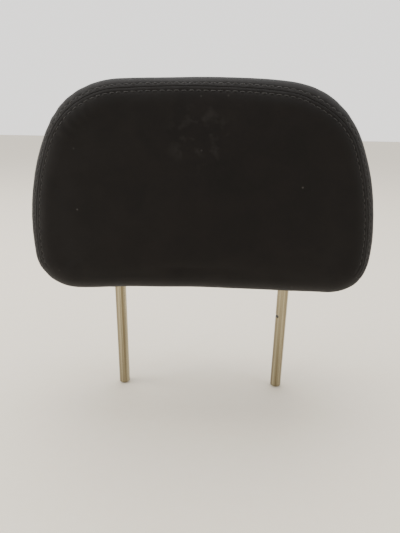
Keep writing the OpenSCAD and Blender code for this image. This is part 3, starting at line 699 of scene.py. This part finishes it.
def fill_panel(cloth, ring_numbers, ring_v, back):
    """Fills a panel inside a ring of its grid with even triangles."""
    rim = form(columns, np.full(len(columns), ring_v))[0][:, [0, 2]]
    angle = np.unwrap(np.arctan2(rim[:, 1] - middle[1], rim[:, 0] - middle[0]))
    angle = np.append(angle, angle[0] + 2 * math.pi)
    far = np.linalg.norm(rim - middle, axis=1)
    x, z = np.meshgrid(np.arange(-140, 140, FACE_STEP),  # a little wider and higher than the cushion
                       np.arange(under_z, under_z + HEIGHT + 4, FACE_STEP * math.sqrt(0.75)))
    x = x + FACE_STEP / 2 * (np.arange(x.shape[0]) % 2)[:, None]
    p = np.stack([x.ravel(), z.ravel()], -1) - middle
    turn = angle[0] + np.mod(np.arctan2(p[:, 1], p[:, 0]) - angle[0], 2 * math.pi)
    share = np.linalg.norm(p, axis=1) / np.interp(turn, angle, np.append(far, far[0]))
    keep = share < WITHIN
    s = np.interp(turn[keep], angle, np.append(columns, ROUND))
    v = 5 - share[keep] * (5 - ring_v) if back else share[keep] * ring_v
    inside = p[keep] + middle
    inner = cloth.points(s, v, across(s, v), inside * (np.array([-1, 1]) if back else 1))
    flat = [Vector(q) for q in np.concatenate([rim, inside])]
    _, _, tris, origin, _, _ = geometry.delaunay_2d_cdt(flat, [], [list(range(len(rim)))], 1, 1e-5)
    numbers = np.concatenate([ring_numbers, inner])
    cloth.faces += [tuple(numbers[origin[i][0]] for i in t) for t in tris]


def wrapped_panel(name, panel):
    """The front or back panel: it covers the face or the back, and wraps under as far as the closure."""
    back = panel == "back"
    cloth = Cloth(panel)
    seam, rim_w, way = (back_seam, ACROSS, -1) if back else (front_seam, 0.0, 1)
    mirror = np.array([-1, 1]) if back else 1
    # rows of points from the face's rim to the seam, and on under the cushion to the hem at the closure
    steps = SEAM_STEPS[SEAM_STEPS < abs(seam - rim_w) - 0.5]
    edge_w = np.concatenate([[rim_w], seam - way * steps[::-1]])
    flap = abs(closure - seam)
    middle_steps = np.arange(SEAM_STEPS[-1] + STEP, flap - 4.5, STEP)
    flap_w = seam + way * np.concatenate([SEAM_STEPS, middle_steps, flap - HEM_STEPS])
    s, w = np.broadcast_arrays(columns[None, :], np.concatenate([edge_w, flap_w])[:, None])
    rim, out = outline(s, np.full(s.shape, BACK_IN if back else EDGE_R))
    lying = rim + out * (way * (w - rim_w))[..., None]
    grid = cloth.points(s, station(w), w, lying * mirror)
    # past the seam only the underside is kept, and the posts' slots are left open
    keep = np.ones((len(grid) - 1, len(columns)), bool)
    keep[len(edge_w) - 1:] = (~on_band & ~np.roll(on_band, -1))[None, :]
    at = cloth.at[0].reshape(s.shape + (3,))
    centre = (at[:-1] + at[1:] + np.roll(at, -1, 1)[:-1] + np.roll(at, -1, 1)[1:]) / 4
    past_edge = (w[:-1] + w[1:]) / 2 > EDGE_LEN * 0.8
    keep &= ~((from_slot(centre)[1] < SLOT_R) & past_edge & (centre[..., 2] < underside))
    cloth.quads(grid, keep, True)
    # two narrow rings ease the close columns of the edge into the even triangles of the middle
    ring = grid[0]
    for v in (4.015, 4.035) if back else (0.985, 0.965):
        outer, vv = ring, np.full(len(columns), v)
        ring = cloth.points(columns, vv, across(columns, vv), form(columns, vv)[0][:, [0, 2]] * mirror)
        cloth.quads(np.stack([outer, ring]), np.ones((1, len(columns)), bool), True)
    fill_panel(cloth, ring, v, back)
    return cloth.build(name)


def side_band(name):
    """The band round the top and the sides, between the two seams."""
    cloth = Cloth("band")
    wide = back_seam - front_seam
    plain = wide - 2 * SEAM_STEPS[-1]
    between_seams = np.linspace(SEAM_STEPS[-1], wide - SEAM_STEPS[-1], int(plain / STEP) + 1)[1:-1]
    w = front_seam + np.concatenate([SEAM_STEPS, between_seams, wide - SEAM_STEPS[::-1]])
    s, w = np.broadcast_arrays(columns[on_band][None, :], w[:, None])
    grid = cloth.points(s, station(w), w, np.stack([s, w], -1))
    cloth.quads(grid, np.ones(grid.shape, bool), False)
    return cloth.build(name)


cover_front = wrapped_panel("cover_face", "front")
cover_back = wrapped_panel("cover_rear", "back")
cover_band = side_band("cover_band")

# a tricot-knitted polyester with a brushed face: matt black, with a soft grey bloom where it is seen edge on
knit, add, place = material("brushed_tricot_polyester")
thread_lines = add("UVMap", uv_map="thread_lines")["UV"]
# wales 0.7 mm and courses 0.57 mm apart; a wave texture repeats every tau / 20 of its scaled length
wales, courses = (add("TexWave", {
    "Vector": thread_lines, "Scale": math.tau / 20 / apart, "Distortion": 0.6, "Detail": 2.0,
    "Detail Scale": 0.5}, bands_direction=way)["Fac"] for apart, way in ((0.0007, "X"), (0.00057, "Y")))
weave = add("Math", {0: wales, 1: courses}, operation="MULTIPLY")["Value"]
# the nap stands up in tufts of 1.1 mm, and lies a little differently every 26 mm
nap = add("TexNoise", {"Vector": place, "Scale": 900.0, "Detail": 4.0, "Roughness": 0.7})["Fac"]
brushed = add("TexNoise", {
    "Vector": place, "Scale": 38.0, "Detail": 5.0, "Roughness": 0.6, "Distortion": 0.8})["Fac"]
tone = add("ValToRGB", {"Fac": brushed}, stops=[(0.32, "151312"), (0.72, "1a1716")])["Color"]
grooves = add("MapRange", {"Value": weave, "To Min": 0.82, "To Max": 1.08})["Result"]
knitted = add("Mix", {6: tone, 7: grooves, 0: 1.0}, data_type="RGBA", blend_type="MULTIPLY")[2]
# lint: pale flecks a millimetre across, in one of twelve cells that are 18 mm wide
lint_cells = add("TexVoronoi", {"Vector": thread_lines, "Scale": 55.0}, voronoi_dimensions="2D")
speck = add("MapRange", {"Value": lint_cells["Distance"], "From Min": 0.045, "From Max": 0.028})["Result"]
drawn = add("SeparateColor", {"Color": lint_cells["Color"]})
few = add("Math", {0: drawn["Red"], 1: 0.92}, operation="GREATER_THAN")["Value"]
pale = add("MapRange", {"Value": drawn["Green"], "To Min": 0.04, "To Max": 0.18})["Result"]
lint = add("Math", {0: speck, 1: few}, operation="MULTIPLY")["Value"]
lint = add("Math", {0: lint, 1: pale}, operation="MULTIPLY")["Value"]
# a rubbed place above the middle of the face, 28 mm in radius: the nap there lies over in patches of 8 mm
RUBBED_AT, RUBBED_R, RUBBED = (-0.002, -0.054, 0.157), (0.028, 0.006), 0.045
from_rub = add("Mapping", {"Vector": place, "Location": [-c for c in RUBBED_AT]})["Vector"]
rub_far = add("VectorMath", {0: from_rub}, operation="LENGTH")["Value"]
rub_near = add("MapRange", {"Value": rub_far, "From Min": RUBBED_R[0], "From Max": RUBBED_R[1]})["Result"]
rub_noise = add("TexNoise", {
    "Vector": place, "Scale": 120.0, "Detail": 2.5, "Roughness": 0.5, "Distortion": 0.3})["Fac"]
rub_patch = add("MapRange", {"Value": rub_noise, "From Min": 0.5, "From Max": 0.7})["Result"]
rubbed = add("Math", {0: rub_near, 1: rub_patch}, operation="MULTIPLY")["Value"]
rubbed = add("Math", {0: rubbed, 1: RUBBED}, operation="MULTIPLY")["Value"]
faint = add("Math", {0: lint, 1: rubbed}, operation="MAXIMUM")["Value"]
colour = add("Mix", {0: faint, 6: knitted, 7: linear("8d8a86")}, data_type="RGBA")[2]
coarse = add("Math", {0: nap, 1: 0.5}, operation="MULTIPLY")["Value"]
height = add("Math", {0: weave, 1: coarse}, operation="ADD")["Value"]
bump = add("Bump", {"Height": height, "Strength": 0.35, "Distance": 0.00025})["Normal"]
shade = add("BsdfPrincipled", {
    "Base Color": colour, "Roughness": 0.92, "IOR": 1.45, "Specular IOR Level": 0.25, "Sheen Weight": 0.115,
    "Sheen Roughness": 0.45, "Sheen Tint": linear("d9dbe0"), "Normal": bump})["BSDF"]
add("OutputMaterial", {"Surface": shade})

# Topstitching ---------------------------------------------------------
# Bonded polyester thread, 0.6 mm thick, in lockstitches 5 mm long on both sides of each seam.
# Its finish is smooth, so it shines a little more than the cloth; its plies make ridges 0.4 mm apart.
THREAD_R, THREAD_SIDES, SPARE_END = 0.3, 6, 3
# how deep a stitch lies along its length, down in a needle hole at each end and up on the cloth between them,
# and the shares of its pitch at which it starts and ends
STITCH_LIE = np.array([0.55, 0.1, -0.2, -0.28, -0.2, 0.1, 0.55])
STITCH_FROM, STITCH_TO = 0.08, 0.92
thread_shade, add, place = material("bonded_polyester_thread")
ply = add("TexNoise", {"Vector": place, "Scale": 2600.0, "Detail": 2.0})["Fac"]
tone = add("ValToRGB", {"Fac": ply}, stops=[(0.35, "1b1918"), (0.65, "242221")])["Color"]
bump = add("Bump", {"Height": ply, "Strength": 0.4, "Distance": 0.0002})["Normal"]
shade = add("BsdfPrincipled", {
    "Base Color": tone, "Roughness": 0.62, "IOR": 1.5, "Sheen Weight": 0.1, "Normal": bump})["BSDF"]
add("OutputMaterial", {"Surface": shade})


def stitches(name, runs):
    """One piece of thread stitches; each run is the points along one stitch and the cover's normals there."""
    verts, faces = [], []
    ring_turn = np.linspace(0, 2 * math.pi, THREAD_SIDES, endpoint=False)
    for path, normal in runs:
        way = np.gradient(path, axis=0)
        way /= np.linalg.norm(way, axis=1, keepdims=True)
        side = np.cross(way, normal)
        side /= np.linalg.norm(side, axis=1, keepdims=True)
        up = np.cross(side, way)
        first = len(verts)
        for p, a, b in zip(path, side, up):
            verts += [p + THREAD_R * (math.cos(t) * a + math.sin(t) * b) for t in ring_turn]
        end = len(verts) - THREAD_SIDES
        for a in range(first, end, THREAD_SIDES):
            b = a + THREAD_SIDES
            faces += [(a + i, b + i, b + k, a + k) for i, k in
                      ((i, (i + 1) % THREAD_SIDES) for i in range(THREAD_SIDES))]
        faces += [tuple(range(first, first + THREAD_SIDES)), tuple(range(end, end + THREAD_SIDES))[::-1]]
    mesh = bpy.data.meshes.new(name)
    mesh.from_pydata((np.array(verts) / MM).tolist(), [], faces)
    mesh.shade_smooth()
    mesh.materials.append(thread_shade)
    piece = show(name, mesh)
    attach(piece, "cushion")
    return piece


def seam_row(name, seam, offset, panel):
    """A row of whole stitches beside a seam, offset millimetres across from it."""
    runs = []
    count = int((seam.at[-1] - 2 * SPARE_END) / PITCH)
    start = math.ceil((seam.at[-1] - count * PITCH) / 2 / PITCH) * PITCH
    for k in range(count):
        where = start + (k + np.linspace(STITCH_FROM, STITCH_TO, len(STITCH_LIE))) * PITCH
        if where[-1] <= seam.at[-1] - SPARE_END:
            s, w = seam.place(where), np.full(where.shape, seam.w + offset)
            runs.append(cover_point(s, station(w), w, panel, STITCH_LIE))
    return stitches(name, runs)


row_face = seam_row("topstitch_face", front_line, -ROW, "front")
row_band_front = seam_row("topstitch_band_front", front_line, ROW, "band")
row_band_back = seam_row("topstitch_band_back", back_line, -ROW, "band")
row_rear = seam_row("topstitch_rear", back_line, ROW, "back")

# each panel, laid flat with its flaps and turn-ins, takes a cloth this wide and long; rounded corners leave
# the given area of it, in square metres
for piece, node, cut, cut_area, rows in (
        (cover_front, "cover_front_panel", (0.30, 0.262), 0.0510, [row_face]),
        (cover_band, "cover_side_band", (0.53, 0.10), 0.0475, [row_band_front, row_band_back]),
        (cover_back, "cover_back_panel", (0.29, 0.225), 0.0395, [row_rear])):
    piece.data.materials.append(knit)
    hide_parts(node)
    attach(piece, "cushion")

# Closure and trims ----------------------------------------------------
# The closure strips are extruded and the slot trims injection moulded, both in black polypropylene.
# The trims clip through the foam to the core's floor; their leather-like grain is 0.7 mm wide, and satin.
trim, add, place = material("black_polypropylene_grained")
grain = add("TexVoronoi", {"Vector": place, "Scale": 1400.0}, feature="DISTANCE_TO_EDGE")["Distance"]
rub = add("TexNoise", {"Vector": place, "Scale": 90.0, "Detail": 4.0})["Fac"]
tone = add("ValToRGB", {"Fac": rub}, stops=[(0.35, "191919"), (0.7, "222222")])["Color"]
wear = add("MapRange", {"Value": rub, "To Min": 0.4, "To Max": 0.6})["Result"]
bump = add("Bump", {"Height": grain, "Strength": 0.25, "Distance": 0.0002})["Normal"]
shade = add("BsdfPrincipled", {"Base Color": tone, "Roughness": wear, "IOR": 1.49, "Normal": bump})["BSDF"]
add("OutputMaterial", {"Surface": shade})
finish_with(["closure_hook_strip", "closure_catch_strip", "bezel_left", "bezel_right"], trim)

# Floor, light and camera ----------------------------------------------
# A plain floor in pale matt paint, rolled on, that runs out far behind; soft lights at both sides and above,
# in an even pale room that is darker behind the camera.
FLOOR_HALF, floor_z = 6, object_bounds()[0].z
floor_paint, add, place = material("pale_floor_paint")
roller = add("TexNoise", {"Vector": place, "Scale": 120.0, "Detail": 2.0})["Fac"]
tone = add("ValToRGB", {"Fac": roller}, stops=[(0.0, "e6ddcc"), (1.0, "e9e1d2")])["Color"]
shade = add("BsdfPrincipled", {"Base Color": tone, "Roughness": 0.7})["BSDF"]
add("OutputMaterial", {"Surface": shade})
ground = bpy.data.meshes.new("floor")
corners = [(x * FLOOR_HALF, y * FLOOR_HALF, floor_z) for x, y in ((-1, -1), (1, -1), (1, 1), (-1, 1))]
ground.from_pydata(corners, [], [(0, 1, 2, 3)])
ground.materials.append(floor_paint)
show("floor", ground)

world = bpy.data.worlds.new("pale_room")
bpy.context.scene.world = world
world.use_nodes = True
world.node_tree.nodes.clear()
add = partial(add_node, world.node_tree)
facing = add("TexCoord")["Generated"]
depth = add("SeparateXYZ", {"Vector": facing})["Y"]
lit = add("MapRange", {
    "Value": depth, "From Min": -0.9, "From Max": 0.2, "To Min": 0.4, "To Max": 1.9},
    interpolation_type="SMOOTHSTEP")["Result"]
sky = add("Background", {"Color": linear("f3f1ee"), "Strength": lit})["Background"]
add("OutputWorld", {"Surface": sky})

# each light: where it hangs, the point that it faces, its width and height, watts and colour
for name, at, aim, size, power, colour in (
        ("window", (-1.5, -0.1, 0.9), (0, 0, 0.05), (0.9, 1.6), 20, "fffdf8"),
        ("strip", (-1.1, -1.1, 0.35), (0, 0, 0), (0.16, 1.3), 5, "fffdf8"),
        ("fill", (1.4, -0.5, 0.8), (0, 0, 0.05), (0.5, 1.4), 4.2, "fbfcff"),
        ("above", (0.0, 0.4, 1.5), (0, 0, 0.1), (1.6, 1.0), 18, "ffffff")):
    lamp = bpy.data.lights.new(name, "AREA")
    lamp.shape, lamp.size, lamp.size_y = "RECTANGLE", size[0], size[1]
    lamp.energy, lamp.color = power, linear(colour)[:3]
    held = show(name, lamp)
    held.location = at
    held.rotation_mode = "QUATERNION"
    held.rotation_quaternion = (Vector(aim) - Vector(at)).to_track_quat("-Z", "Y")

# the camera looks down at the face from 0.36 m before it, turned and tipped by a degree each
CAMERA_AT, LENS = (0.00412, -0.3643, 0.1685), 29.04
DOWN, TURNED, TIPPED = math.radians(18.80), math.radians(-0.93), math.radians(0.98)
ahead = Vector((math.sin(TURNED) * math.cos(DOWN), math.cos(TURNED) * math.cos(DOWN), -math.sin(DOWN)))
level = Vector((math.cos(TURNED), -math.sin(TURNED), 0))
right = math.cos(TIPPED) * level + math.sin(TIPPED) * level.cross(ahead)
camera = show("camera", bpy.data.cameras.new("camera"))
camera.data.lens, camera.data.sensor_width = LENS, 36
camera.data.clip_start = 0.01
axes = Matrix((right, right.cross(ahead), -ahead)).transposed().to_4x4()
camera.matrix_world = Matrix.Translation(CAMERA_AT) @ axes
bpy.context.scene.camera = camera
